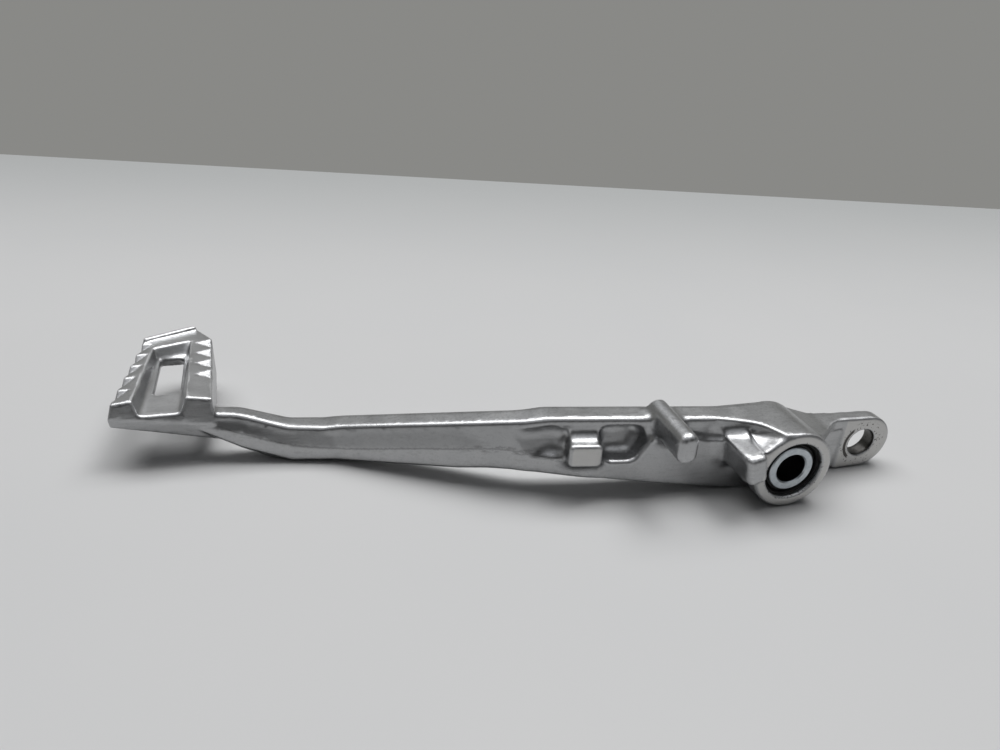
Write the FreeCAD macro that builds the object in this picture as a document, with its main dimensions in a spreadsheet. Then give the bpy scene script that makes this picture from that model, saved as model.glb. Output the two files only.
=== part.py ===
import FreeCAD, Part
import math
import os
import Sketcher
from FreeCAD import Vector

os.makedirs("parts", exist_ok=True)
doc = FreeCAD.newDocument("brake_pedal")

# Sizes in millimetres. X runs forward to the foot pad, Y inboard, Z up.
# The origin is on the pivot axis, half way along the boss.
SIZES = [
    # pivot boss, sleeve and seals
    ("boss_dia", "22.8"),
    ("boss_len", "19"),
    ("boss_bevel", "0.6"),
    ("sleeve_od", "13"),
    ("sleeve_bore", "8.2"),
    ("sleeve_setback", "1.2"),
    ("sleeve_bevel", "0.5"),
    ("running_gap", "0.03"),
    ("seal_od", "16.7"),
    ("seal_width", "3"),
    ("seal_recess", "1.6"),
    ("seal_lip_gap", "0.05"),
    ("seal_dish", "0.7"),
    ("seal_lip_drop", "0.35"),
    ("seal_rim", "0.55"),
    ("seal_nose", "0.5"),
    # arm in plan: straight root, splayed blade, short neck
    ("root_outboard", "6.9"),
    ("root_splay", "0.165"),
    ("bend_x", "67"),
    ("blade_splay", "0.505"),
    ("knee_x", "116.6"),
    ("neck_splay", "0.17"),
    ("neck_end_x", "152"),
    ("flange_width", "7.6"),
    ("blade_width", "7.4"),
    ("neck_width", "5.1"),
    # arm from the side
    ("crest_x", "63.5"),
    ("crest_z", "11.8"),
    ("dip_x", "119"),
    ("dip_len", "9.5"),
    ("dip_z", "-0.6"),
    ("rise_x", "141.5"),
    ("rise_z", "3"),
    ("belly_x", "12"),
    ("belly_lift", "0.3"),
    ("vault_x", "49"),
    ("vault_lift", "6.1"),
    ("vault_len", "22"),
    ("foot_x", "121"),
    ("foot_len", "12.5"),
    ("chin_lift", "8.9"),
    ("plan_bend_radius", "30"),
    ("side_bend_radius", "14"),
    ("arm_edge_radius", "1.3"),
    # drafted flank: the inboard side swells to a parting ridge at mid height
    ("flank_gap", "5"),
    ("flank_fade", "13"),
    ("flank_start_shift", "-1.6"),
    ("flank_start_share", "0.5"),
    ("flank_knee_share", "0.415"),
    ("flank_dip_share", "0.48"),
    ("flank_rise_share", "0.56"),
    ("flank_end_share", "0.3"),
    ("flank_swell", "1.2"),
    ("flank_top", "1.75"),
    ("flank_bury", "0.25"),
    ("flank_deep", "2.6"),
    ("flank_foot", "1.2"),
    ("flank_under", "0.5"),
    # thick lower lip on the inboard side, with the hill under the first post
    ("lip_start_x", "9"),
    ("lip_thick", "5"),
    ("lip_tail", "2.5"),
    ("lip_root_y", "-0.7"),
    ("lip_mid_x", "35"),
    ("lip_mid_y", "-2.6"),
    ("lip_lug_x", "52"),
    ("lip_lug_y", "-4.7"),
    ("lip_root_z", "1.6"),
    ("lip_end_x", "71"),
    ("lip_end_y", "-12.8"),
    ("hill_low_x", "22"),
    ("hill_low_z", "6"),
    ("hill_right_x", "30"),
    ("hill_left_x", "36"),
    ("hill_z", "7.3"),
    ("shelf_x", "40.5"),
    ("shelf_z", "0.1"),
    ("shelf_end_z", "0.9"),
    ("lip_edge_radius", "1"),
    ("hill_radius", "3"),
    # recess under the flange
    ("recess_start_x", "37.2"),
    ("recess_run_out", "6"),
    ("recess_run_drop", "2.2"),
    ("recess_post_gap", "1"),
    ("recess_heel_x", "2"),
    ("recess_floor_y", "-9"),
    ("recess_end_y", "-11.9"),
    ("flange_thick", "1.9"),
    ("recess_low_z", "-0.5"),
    ("recess_lean", "0.26"),
    ("recess_lean_z", "2"),
    ("recess_corner", "4"),
    ("recess_back_depth", "2.4"),
    ("gusset_x", "18"),
    ("gusset_mid_x", "8.2"),
    ("gusset_mid_y", "1.6"),
    ("gusset_top_x", "4.4"),
    ("gusset_rim", "0.8"),
    ("core_y", "-2.5"),
    ("gusset_radius", "9"),
    ("skirt_x", "17"),
    ("skirt_y", "-1.6"),
    ("skirt_mid_y", "1.4"),
    ("skirt_top_x", "3.4"),
    ("skirt_z", "-2"),
    # lug in the recess
    ("lug_x", "54.4"),
    ("lug_z", "2.8"),
    ("lug_width", "9"),
    ("lug_height", "6.6"),
    ("lug_face_y", "-3.6"),
    ("lug_corner", "1.5"),
    ("lug_depth", "8"),
    ("lug_rim", "0.5"),
    ("lug_turn", "-9.4"),
    # spring posts
    ("post_width", "5.6"),
    ("post_height", "8.6"),
    ("first_post_x", "32.85"),
    ("first_post_top", "15"),
    ("first_post_tip_y", "10"),
    ("first_post_back_y", "-9.5"),
    ("second_post_x", "14"),
    ("second_post_top", "7.6"),
    ("second_post_tip_y", "12.5"),
    ("second_post_back_y", "-4"),
    ("second_post_corner", "1.1"),
    ("second_post_turn", "11"),
    ("post_tip_radius", "0.8"),
    # pushrod eye link
    ("eye_x", "-32.4"),
    ("eye_z", "-2.9"),
    ("eye_radius", "8.2"),
    ("eye_lobe", "1.1"),
    ("eye_bore", "8.4"),
    ("eye_bevel", "0.4"),
    ("link_out_y", "-8.1"),
    ("link_face_y", "-3.5"),
    ("link_web_y", "-4.4"),
    ("link_step_x", "-25.3"),
    ("link_flange_thick", "2.6"),
    ("link_blend_x", "-15"),
    ("link_blend_rise", "0.8"),
    ("link_shoulder_x", "-7.5"),
    ("link_blend_radius", "9"),
    ("link_taper_x", "-21"),
    ("link_wide_x", "-9.5"),
    ("link_wide_y", "5.5"),
    ("link_back_x", "-22"),
    ("link_heel_x", "2"),
    ("link_toe_x", "-3"),
    # foot pad
    ("pad_end_y", "-44.2"),
    ("pad_len", "48.3"),
    ("pad_front_x", "174.6"),
    ("pad_rear_x", "147.7"),
    ("pad_far_front_x", "170.45"),
    ("toe_front_slant", "7.7"),
    ("pad_tip_x", "156.1"),
    ("pad_far_rear_x", "150.4"),
    ("toe_rear_slant", "8"),
    ("toe_lip_height", "1.2"),
    ("toe_lip_thick", "1.5"),
    ("tread_z", "8.45"),
    ("rail_front_drop", "0.8"),
    ("rail_rear_drop", "1.2"),
    ("rail_rear_bank", "1.7"),
    ("rail_front_bank", "1.4"),
    ("tread_fall", "0.02"),
    ("front_lean", "1.5"),
    ("front_lean_far", "0.2"),
    ("front_lean_z", "2.5"),
    ("pad_under_front_z", "1.4"),
    ("pad_under_rear_z", "-5.6"),
    ("pad_corner", "1.6"),
    ("pad_margin", "1"),
    ("end_lean", "0.268"),
    ("chin_out", "2.23"),
    ("chin_rear_z", "0.13"),
    ("chin_rise", "0.1455"),
    ("chin_run", "-0.039"),
    ("chin_tuck", "0.29"),
    ("chin_tall", "12"),
    ("trough_z", "4.2"),
    ("trough_front_x", "166.9"),
    ("trough_rear_x", "156.2"),
    ("trough_toe", "14"),
    ("trough_taper", "1.2"),
    ("trough_skew", "1.5"),
    ("trough_over", "1.4"),
    ("trough_wall_lean", "1.7"),
    ("trough_rear_lean", "2.6"),
    ("trough_front_ramp", "2.6"),
    ("trough_rear_ramp", "4.4"),
    ("window_near_y", "-55.3"),
    ("window_toe", "15.2"),
    ("window_rear_x", "157.6"),
    ("window_front_x", "164.7"),
    ("window_corner", "1.2"),
    ("window_rear_taper", "0.8"),
    ("window_front_taper", "0.3"),
    ("window_skew", "0.5"),
    ("pocket_rear_x", "157"),
    ("pocket_front_x", "166.4"),
    ("pocket_near_y", "-53"),
    ("pocket_toe", "8"),
    ("pocket_slant", "5"),
    ("pad_floor", "2.2"),
    ("notch_over", "4"),
    ("rear_notch_y", "-58.2"),
    ("rear_notch_pitch", "7.3"),
    ("rear_notch_length", "5.2"),
    ("rear_notch_half", "3"),
    ("rear_notch_depth", "1.9"),
    ("rear_notch_skew", "0.17"),
    ("front_notch_y", "-51.8"),
    ("front_notch_pitch", "7.55"),
    ("front_notch_length", "3.7"),
    ("front_notch_half", "2.3"),
    ("front_notch_depth", "1.5"),
    ("front_notch_skew", "0.42"),
    # lengths that only have to reach past the part
    ("beyond", "90"),
    ("overlap", "6"),
    # values that follow from the sizes above
    ("flank_start_x", "=bend_x + flank_gap"),
    ("flank_full_x", "=flank_start_x + flank_fade"),
    ("pad_tip_y", "=pad_end_y - pad_len"),
    ("pad_far_front_y", "=pad_tip_y + toe_front_slant"),
    ("pad_far_rear_y", "=pad_tip_y + toe_rear_slant"),
    ("trough_far_y", "=pad_tip_y + trough_toe"),
    ("window_far_y", "=pad_tip_y + window_toe"),
    ("pad_near_y", "=pad_end_y + overlap / 2"),
    ("pocket_far_front_y", "=pad_tip_y + pocket_toe"),
    ("pocket_far_rear_y", "=pocket_far_front_y - pocket_slant"),
    ("pocket_z", "=trough_z - pad_floor"),
    ("end_out_y", "=pad_end_y + 2 * overlap"),
    ("end_top_z", "=tread_z + overlap"),
    ("end_top_y", "=pad_end_y - end_lean * overlap"),
    ("end_low_z", "=tread_z - 3 * overlap"),
    ("end_low_y", "=pad_end_y + end_lean * 3 * overlap"),
    ("chin_y", "=pad_end_y + chin_out"),
    ("chin_high_y", "=chin_y + chin_tuck * overlap"),
    ("chin_high_z", "=chin_rear_z + overlap"),
    ("chin_low_y", "=chin_y - chin_tuck * chin_tall"),
    ("chin_low_z", "=chin_rear_z - chin_tall"),
    ("toe_top_z", "=tread_z - tread_fall * pad_len + toe_lip_height"),
    ("toe_low_z", "=trough_z"),
    ("sleeve_len", "=boss_len - 2 * sleeve_setback"),
    ("boss_r", "=boss_dia / 2"),
    ("half_boss", "=boss_len / 2"),
    ("foot_z", "=-boss_dia / 2"),
    ("bend_out_y", "=-root_outboard - root_splay * bend_x"),
    ("knee_out_y", "=bend_out_y - blade_splay * (knee_x - bend_x)"),
    ("neck_out_y", "=knee_out_y - neck_splay * (neck_end_x - knee_x)"),
    ("root_flush_x", "=(boss_len / 2 - root_outboard) / root_splay"),
    ("root_in_y", "=flange_width - root_outboard"),
    ("bend_in_y", "=bend_out_y + flange_width"),
    ("knee_in_y", "=knee_out_y + blade_width"),
    ("neck_in_y", "=neck_out_y + neck_width"),
    ("dip_end_x", "=dip_x + dip_len"),
    ("chin_z", "=foot_z + chin_lift"),
    ("foot_end_x", "=foot_x + foot_len"),
    ("vault_end_x", "=vault_x + vault_len"),
    ("vault_z", "=foot_z + vault_lift"),
    ("belly_z", "=foot_z + belly_lift"),
    ("recess_end_x", "=bend_x + recess_run_out"),
    ("recess_top_z", "=boss_r - flange_thick"),
    ("recess_crest_z", "=crest_z - flange_thick"),
    ("recess_end_z", "=recess_crest_z - recess_run_drop"),
    ("recess_back_x", "=first_post_x - recess_post_gap"),
    ("recess_back_y", "=root_in_y - recess_back_depth"),
    ("recess_back_end_y", "=recess_back_y - root_splay * recess_back_x"),
    ("lip_inner_y", "=lip_root_y - lip_thick"),
    ("lip_bury_y", "=lip_end_y - lip_tail"),
    ("eye_top_z", "=eye_z + eye_radius"),
    ("eye_low_z", "=eye_z - eye_radius"),
    ("eye_lobe_x", "=eye_x - eye_lobe"),
    ("link_blend_z", "=eye_top_z + link_blend_rise"),
    ("link_shoulder_z", "=sqrt(boss_r * boss_r - link_shoulder_x * link_shoulder_x)"),
    ("boss_out_y", "=-boss_len / 2"),
    ("half_boss_in", "=boss_len / 2 - gusset_rim"),
    ("gusset_y", "=root_in_y - root_splay * gusset_x"),
    ("rail_rear_z", "=tread_z - rail_rear_drop"),
    ("rail_front_z", "=tread_z - rail_front_drop"),
    ("pad_cut_rear_x", "=pad_rear_x - pad_margin"),
    ("pad_cut_front_x", "=pad_front_x + pad_margin"),
    ("rail_rear_x", "=trough_rear_x - rail_rear_bank"),
    ("lean_top_x", "=pad_front_x - front_lean * 1.3"),
    ("lean_top_z", "=front_lean_z + (tread_z - front_lean_z) * 1.3"),
    ("lean_out_x", "=pad_front_x + overlap / 2"),
    ("rail_front_x", "=trough_front_x + rail_front_bank"),
    ("trough_open_y", "=pad_end_y + overlap"),
    ("trough_low_front_x", "=trough_front_x - trough_taper"),
    ("trough_low_rear_x", "=trough_rear_x + trough_taper"),
    ("trough_low_front_y", "=trough_far_y + trough_skew"),
    ("trough_low_rear_y", "=trough_far_y - trough_skew"),
    ("trough_top_z", "=tread_z + trough_over"),
    ("trough_top_front_x", "=trough_front_x + trough_wall_lean"),
    ("trough_top_rear_x", "=trough_rear_x - trough_rear_lean"),
    ("trough_tip_front_x", "=trough_low_front_x + trough_wall_lean"),
    ("trough_tip_rear_x", "=trough_low_rear_x - trough_wall_lean"),
    ("trough_top_front_y", "=trough_low_front_y - trough_front_ramp"),
    ("trough_top_rear_y", "=trough_low_rear_y - trough_rear_ramp"),
    ("window_tip_rear_x", "=window_rear_x + window_rear_taper"),
    ("window_tip_front_x", "=window_front_x + window_front_taper"),
    ("window_near_rear_y", "=window_near_y - window_skew"),
    ("window_near_front_y", "=window_near_y + window_skew"),
    ("window_far_rear_y", "=window_far_y - 2 * window_skew"),
    ("sleeve_ri", "=sleeve_bore / 2"),
    ("sleeve_ro", "=sleeve_od / 2"),
    ("sleeve_h", "=sleeve_len / 2"),
    ("sleeve_minus_h", "=-sleeve_len / 2"),
    ("sleeve_ri_bevel", "=sleeve_ri + sleeve_bevel"),
    ("sleeve_ro_bevel", "=sleeve_ro - sleeve_bevel / 2"),
    ("sleeve_h_in", "=sleeve_h - sleeve_bevel"),
    ("sleeve_h_out", "=sleeve_h - sleeve_bevel / 2"),
    ("sleeve_low_in", "=-sleeve_h_in"),
    ("sleeve_low_out", "=-sleeve_h_out"),
    ("seal_ro", "=seal_od / 2"),
    ("seal_ri", "=sleeve_ro + seal_lip_gap"),
    ("seal_mid_r", "=(seal_ro + seal_ri) / 2"),
    ("seal_face_y", "=half_boss - seal_recess"),
    ("seal_back_y", "=seal_face_y - seal_width"),
    ("seal_dish_y", "=seal_face_y - seal_dish"),
    ("seal_lip_y", "=seal_face_y - seal_lip_drop"),
    ("seal_rim_r", "=seal_ro - seal_rim"),
    ("seal_nose_r", "=seal_ri + seal_nose"),
    ("below", "=-beyond"),
    ("zero", "0"),
]

sheet = doc.addObject("Spreadsheet::Sheet", "Sizes")
for row, (alias, value) in enumerate(SIZES, start=1):
    sheet.set("A%d" % row, alias)
    sheet.set("B%d" % row, value)
    sheet.setAlias("B%d" % row, alias)
doc.recompute()


def size(alias):
    return float(sheet.get(alias))


def follow(obj, prop, rule):
    obj.setExpression(prop, rule)


def value(entry):
    if isinstance(entry, str):
        return size(entry)
    return float(entry)


PLANES = {
    "plan": FreeCAD.Rotation(),
    "side": FreeCAD.Rotation(Vector(1, 0, 0), 90),
    "end": FreeCAD.Rotation(Vector(1, 1, 1), 120),
}


def outline(name, plane, corners, height=0.0):
    """Closed outline; every corner is a pair of sheet names or plain numbers."""
    sk = doc.addObject("Sketcher::SketchObject", name)
    turn = PLANES[plane]
    sk.Placement = FreeCAD.Placement(turn.multVec(Vector(0, 0, height)), turn)
    points = [Vector(value(a), value(b), 0) for a, b in corners]
    count = len(points)
    for i in range(count):
        sk.addGeometry(Part.LineSegment(points[i], points[(i + 1) % count]), False)
    for i in range(count):
        sk.addConstraint(Sketcher.Constraint("Coincident", i, 2, (i + 1) % count, 1))
    for i, pair in enumerate(corners):
        for kind, entry in zip(("DistanceX", "DistanceY"), pair):
            index = sk.addConstraint(Sketcher.Constraint(kind, -1, 1, i, 1, value(entry)))
            if isinstance(entry, str):
                follow(sk, "Constraints[%d]" % index, "Sizes." + entry)
    return sk


def prism(name, base, direction, ahead, behind):
    solid = doc.addObject("Part::Extrusion", name)
    solid.Base = base
    solid.DirMode = "Custom"
    solid.Dir = direction
    solid.LengthFwd = ahead
    solid.LengthRev = behind
    solid.Solid = True
    doc.recompute()
    return solid


def common(name, members):
    solid = doc.addObject("Part::MultiCommon", name)
    solid.Shapes = members
    doc.recompute()
    return solid


def fuse(name, members):
    solid = doc.addObject("Part::MultiFuse", name)
    solid.Shapes = members
    solid.Refine = True
    doc.recompute()
    return solid


def cut(name, base, tool):
    solid = doc.addObject("Part::Cut", name)
    solid.Base = base
    solid.Tool = tool
    solid.Refine = False
    doc.recompute()
    return solid


def rounded(name, base, picks, radius):
    """Round the picked edges, easing the radius if the faces are too small for it."""
    edges = base.Shape.Edges
    for share in (1.0, 0.8, 0.6, 0.4):
        try:
            trial = base.Shape.makeFillet(radius * share, [edges[i - 1] for i in picks])
        except Part.OCCError:
            continue
        if trial.isValid() and trial.Volume > 0:
            solid = doc.addObject("Part::Fillet", name)
            solid.Base = base
            solid.Edges = [(i, radius * share, radius * share) for i in picks]
            doc.recompute()
            return solid
    return base


def bevelled(name, base, picks, width):
    solid = doc.addObject("Part::Chamfer", name)
    solid.Base = base
    solid.Edges = [(i, width, width) for i in picks]
    doc.recompute()
    return solid


def edges_along(base, axis, spots=None):
    """Straight edges parallel to an axis, optionally only those at given spots."""
    found = []
    for number, edge in enumerate(base.Shape.Edges, start=1):
        if len(edge.Vertexes) != 2 or edge.Curve.TypeId != "Part::GeomLine":
            continue
        run = edge.Vertexes[1].Point.sub(edge.Vertexes[0].Point).normalize()
        if abs(run.dot(axis)) < 0.999:
            continue
        point = edge.Vertexes[0].Point
        flat = point - axis * point.dot(axis)
        if spots is None or any(flat.distanceToPoint(s - axis * s.dot(axis)) < 0.01 for s in spots):
            found.append(number)
    return found


def normal_at(face, point):
    u, v = face.Surface.parameter(point)
    return face.normalAt(u, v)


def edges_where(base, first, second, near=None):
    """Edges between a face that passes the first test and one that passes the second."""
    found = []
    for number, edge in enumerate(base.Shape.Edges, start=1):
        middle = edge.valueAt((edge.FirstParameter + edge.LastParameter) / 2)
        if near is not None and not near(middle):
            continue
        faces = base.Shape.ancestorsOfType(edge, Part.Face)
        if len(faces) != 2:
            continue
        a = normal_at(faces[0], middle)
        b = normal_at(faces[1], middle)
        if (first(a) and second(b)) or (first(b) and second(a)):
            found.append(number)
    return found


ALONG_X = Vector(1, 0, 0)
ALONG_Y = Vector(0, 1, 0)
ALONG_Z = Vector(0, 0, 1)


def upright(n):
    return abs(n.z) < 0.08 and abs(n.x) < 0.9


def flat_lying(n):
    return abs(n.y) < 0.05 and abs(n.x) < 0.9


# Arm: the plan outline and the side outline meet in one cranked bar.
arm_plan = prism("arm_plan", outline("arm_plan_outline", "plan", [
    ("zero", "boss_out_y"),
    ("root_flush_x", "boss_out_y"),
    ("bend_x", "bend_out_y"),
    ("knee_x", "knee_out_y"),
    ("neck_end_x", "neck_out_y"),
    ("neck_end_x", "neck_in_y"),
    ("knee_x", "knee_in_y"),
    ("bend_x", "bend_in_y"),
    ("zero", "root_in_y"),
]), ALONG_Z, size("beyond"), size("beyond"))
arm_plan_bent = rounded("arm_plan_bent", arm_plan, edges_along(arm_plan, ALONG_Z, [
    Vector(size("root_flush_x"), size("boss_out_y"), 0),
    Vector(size("bend_x"), size("bend_out_y"), 0),
    Vector(size("knee_x"), size("knee_out_y"), 0),
    Vector(size("knee_x"), size("knee_in_y"), 0),
    Vector(size("bend_x"), size("bend_in_y"), 0),
]), size("plan_bend_radius"))

arm_side_corners = [
    ("zero", "boss_r"),
    ("crest_x", "crest_z"),
    ("dip_x", "dip_z"),
    ("dip_end_x", "dip_z"),
    ("rise_x", "rise_z"),
    ("neck_end_x", "rise_z"),
    ("neck_end_x", "chin_z"),
    ("foot_end_x", "foot_z"),
    ("foot_x", "foot_z"),
    ("vault_end_x", "vault_z"),
    ("vault_x", "vault_z"),
    ("belly_x", "belly_z"),
    ("zero", "foot_z"),
]
arm_side = prism("arm_side", outline("arm_side_outline", "side", arm_side_corners), ALONG_Y,
                 size("beyond"), size("beyond"))
arm_side_bent = rounded("arm_side_bent", arm_side, edges_along(arm_side, ALONG_Y, [
    Vector(value(a), 0, value(b)) for a, b in arm_side_corners if a not in ("zero", "neck_end_x")
]), size("side_bend_radius"))
arm_blank = common("arm_blank", [arm_plan_bent, arm_side_bent])
arm = rounded("arm", arm_blank, edges_where(arm_blank, upright, flat_lying), size("arm_edge_radius"))



def arm_side_y(x):
    """Inboard side of the arm in plan."""
    if x < size("bend_x"):
        return between(size("root_in_y"), size("bend_in_y"), x / size("bend_x"))
    if x < size("knee_x"):
        share = (x - size("bend_x")) / (size("knee_x") - size("bend_x"))
        return between(size("bend_in_y"), size("knee_in_y"), share)
    share = (x - size("knee_x")) / (size("neck_end_x") - size("knee_x"))
    return between(size("knee_in_y"), size("neck_in_y"), share)


def between(a, b, share):
    return a + (b - a) * share


ARM_TOP = [
    ("crest_x", "crest_z"),
    ("dip_x", "dip_z"),
    ("dip_end_x", "dip_z"),
    ("rise_x", "rise_z"),
    ("neck_end_x", "rise_z"),
]
ARM_FOOT = [
    ("vault_x", "vault_z"),
    ("vault_end_x", "vault_z"),
    ("foot_x", "foot_z"),
    ("foot_end_x", "foot_z"),
    ("neck_end_x", "chin_z"),
]


def height_at(chain, x):
    """Height of the arm's upper or lower outline at x."""
    for (x1, z1), (x2, z2) in zip(chain, chain[1:]):
        if x <= size(x2) or x2 == "neck_end_x":
            return between(size(z1), size(z2), (x - size(x1)) / (size(x2) - size(x1)))


# Drafted flank: a slim swelling of the inboard side. It leans back above the parting line
# and stands upright below it, and it fades into the arm at its start.
FLANK = [
    ("flank_start_x", "flank_start_share", "flank_start_shift"),
    ("flank_full_x", "flank_start_share", "zero"),
    ("knee_x", "flank_knee_share", "zero"),
    ("dip_end_x", "flank_dip_share", "zero"),
    ("rise_x", "flank_rise_share", "zero"),
    ("neck_end_x", "flank_end_share", "zero"),
]
flank_rings = []
for station, (at_x, share, shift) in enumerate(FLANK, start=1):
    side_y = arm_side_y(size(at_x)) + value(shift)
    top_z = height_at(ARM_TOP, size(at_x)) - size("flank_top")
    foot_z = height_at(ARM_FOOT, size(at_x))
    ridge_y = side_y + size("flank_swell")
    ridge_z = between(foot_z + size("flank_foot"), top_z, size(share))
    high_z = top_z + size("flank_bury") * (top_z - ridge_z) / size("flank_swell")
    ring_outline = outline("flank_ring_%d" % station, "end", [
        (side_y - size("flank_deep"), high_z),
        (side_y - size("flank_bury"), high_z),
        (ridge_y, ridge_z),
        (ridge_y, foot_z + size("flank_foot")),
        (ridge_y - size("flank_foot") - size("flank_under"), foot_z - size("flank_under")),
        (side_y - size("flank_deep"), foot_z - size("flank_under")),
    ])
    follow(ring_outline, "Placement.Base.x", "Sizes." + at_x)
    flank_rings.append(ring_outline)
flank_wedge = doc.addObject("Part::Loft", "flank_wedge")
flank_wedge.Sections = flank_rings
flank_wedge.Solid = True
flank_wedge.Ruled = True
doc.recompute()
flank = common("flank", [flank_wedge, arm_side_bent])

# Recess under the flange, in front of and behind the first post.
recess_lean = Vector(0, -size("recess_lean"), 1)
recess_outline = outline("recess_plan_outline", "plan", [
    ("recess_start_x", "recess_floor_y"),
    ("recess_end_x", "recess_end_y"),
    ("recess_end_x", "beyond"),
    ("recess_start_x", "beyond"),
])
follow(recess_outline, "Placement.Base.z", "Sizes.recess_lean_z")
recess_plan = prism("recess_plan", recess_outline, recess_lean, size("beyond"), size("beyond"))
recess_side = prism("recess_side", outline("recess_side_outline", "side", [
    ("recess_start_x", "recess_low_z"),
    ("recess_end_x", "recess_low_z"),
    ("recess_end_x", "recess_end_z"),
    ("crest_x", "recess_crest_z"),
    ("recess_start_x", "recess_top_z"),
]), ALONG_Y, size("beyond"), size("beyond"))
recess_front = common("recess_front", [recess_plan, recess_side])
recess_front_soft = rounded("recess_front_soft", recess_front, edges_along(recess_front, ALONG_Y, [
    Vector(size("recess_start_x"), 0, size("recess_low_z")),
]), size("recess_corner"))
recess_back_outline = outline("recess_back_plan_outline", "plan", [
    ("recess_heel_x", "recess_back_y"),
    ("recess_back_x", "recess_back_end_y"),
    ("recess_back_x", "beyond"),
    ("recess_heel_x", "beyond"),
])
follow(recess_back_outline, "Placement.Base.z", "Sizes.recess_lean_z")
recess_back_plan = prism("recess_back_plan", recess_back_outline, recess_lean, size("beyond"), size("beyond"))
recess_back_side = prism("recess_back_side", outline("recess_back_side_outline", "side", [
    ("recess_heel_x", "zero"),
    ("recess_back_x", "zero"),
    ("recess_back_x", "recess_top_z"),
    ("recess_heel_x", "recess_top_z"),
]), ALONG_Y, size("beyond"), size("beyond"))
recess_back = common("recess_back", [recess_back_plan, recess_back_side])
arm_recessed = cut("arm_recessed", cut("arm_opened", arm, recess_front_soft), recess_back)

# Lower lip: shares the underside of the arm and stands proud of the recess floor.
lip_plan = prism("lip_plan", outline("lip_plan_outline", "plan", [
    ("lip_start_x", "lip_inner_y"),
    ("lip_start_x", "lip_root_y"),
    ("lip_mid_x", "lip_mid_y"),
    ("lip_lug_x", "lip_lug_y"),
    ("lip_end_x", "lip_end_y"),
    ("lip_end_x", "lip_bury_y"),
]), ALONG_Z, size("beyond"), size("beyond"))
lip_plan_soft = rounded("lip_plan_soft", lip_plan, edges_along(lip_plan, ALONG_Z, [
    Vector(size("lip_mid_x"), size("lip_mid_y"), 0),
    Vector(size("lip_lug_x"), size("lip_lug_y"), 0),
]), size("plan_bend_radius"))
lip_side = prism("lip_side", outline("lip_side_outline", "side", [
    ("lip_start_x", "below"),
    ("lip_end_x", "below"),
    ("lip_end_x", "shelf_end_z"),
    ("shelf_x", "shelf_z"),
    ("hill_left_x", "hill_z"),
    ("hill_right_x", "hill_z"),
    ("hill_low_x", "hill_low_z"),
    ("lip_start_x", "lip_root_z"),
]), ALONG_Y, size("beyond"), size("beyond"))
lip_side_soft = rounded("lip_side_soft", lip_side, edges_along(lip_side, ALONG_Y, [
    Vector(size("shelf_x"), 0, size("shelf_z")),
    Vector(size("hill_left_x"), 0, size("hill_z")),
    Vector(size("hill_right_x"), 0, size("hill_z")),
    Vector(size("hill_low_x"), 0, size("hill_low_z")),
]), size("hill_radius"))
lip_blank = common("lip_blank", [lip_plan_soft, lip_side_soft, arm_side_bent])


def faces_inboard(n):
    return n.y > 0.7


def on_lip_rim(point):
    return size("lip_start_x") + 0.5 < point.x < size("lip_end_x") - 0.5


lip = rounded("lip", lip_blank, edges_where(lip_blank, faces_inboard, flat_lying, on_lip_rim),
              size("lip_edge_radius"))


def post(name, x, top, tip, back, corner, turn=0.0):
    spin = FreeCAD.Rotation(ALONG_Y, turn)
    reach = Vector(size("post_width") / 2, 0, size("post_height"))
    crown = Vector(size(x), size(back), size(top))
    block = doc.addObject("Part::Box", name + "_block")
    block.Placement = FreeCAD.Placement(crown - spin.multVec(reach), spin)
    follow(block, "Length", "Sizes.post_width")
    follow(block, "Height", "Sizes.post_height")
    follow(block, "Width", "Sizes.%s - Sizes.%s" % (tip, back))
    doc.recompute()
    soft = rounded(name + "_soft", block, edges_along(block, ALONG_Y), corner)

    def at_tip(point):
        return abs(point.y - size(tip)) < 0.01

    rim = [i for i, e in enumerate(soft.Shape.Edges, start=1) if at_tip(e.CenterOfMass)]
    return rounded(name, soft, rim, size("post_tip_radius"))


first_post = post("first_post", "first_post_x", "first_post_top", "first_post_tip_y",
                  "first_post_back_y", size("post_width") / 2 - 0.05)
second_post = post("second_post", "second_post_x", "second_post_top", "second_post_tip_y",
                   "second_post_back_y", size("second_post_corner"), size("second_post_turn"))

# Stop lug: a rounded block standing on the recess floor, turned with the arm.
lug_turn = FreeCAD.Rotation(ALONG_Z, size("lug_turn"))
lug_axis = lug_turn.multVec(ALONG_Y)
lug_mid = Vector(size("lug_width") / 2, size("lug_depth"), size("lug_height") / 2)
lug_face = Vector(size("lug_x"), size("lug_face_y"), size("lug_z"))
lug_block = doc.addObject("Part::Box", "lug_block")
lug_block.Placement = FreeCAD.Placement(lug_face - lug_turn.multVec(lug_mid), lug_turn)
follow(lug_block, "Length", "Sizes.lug_width")
follow(lug_block, "Height", "Sizes.lug_height")
follow(lug_block, "Width", "Sizes.lug_depth")
doc.recompute()
lug_soft = rounded("lug_soft", lug_block, edges_along(lug_block, lug_axis), size("lug_corner"))
lug_rim = [i for i, e in enumerate(lug_soft.Shape.Edges, start=1)
           if abs((e.CenterOfMass - lug_face).dot(lug_axis)) < 0.01]
lug = bevelled("lug", lug_soft, lug_rim, size("lug_rim"))


def cylinder(name, radius, x, y, z, length):
    """Cylinder along Y; radius, place and length are rules over the sheet."""
    solid = doc.addObject("Part::Cylinder", name)
    solid.Placement = FreeCAD.Placement(Vector(), FreeCAD.Rotation(ALONG_X, -90))
    follow(solid, "Radius", radius)
    follow(solid, "Height", length)
    follow(solid, "Placement.Base.x", x)
    follow(solid, "Placement.Base.y", y)
    follow(solid, "Placement.Base.z", z)
    doc.recompute()
    return solid


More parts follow.
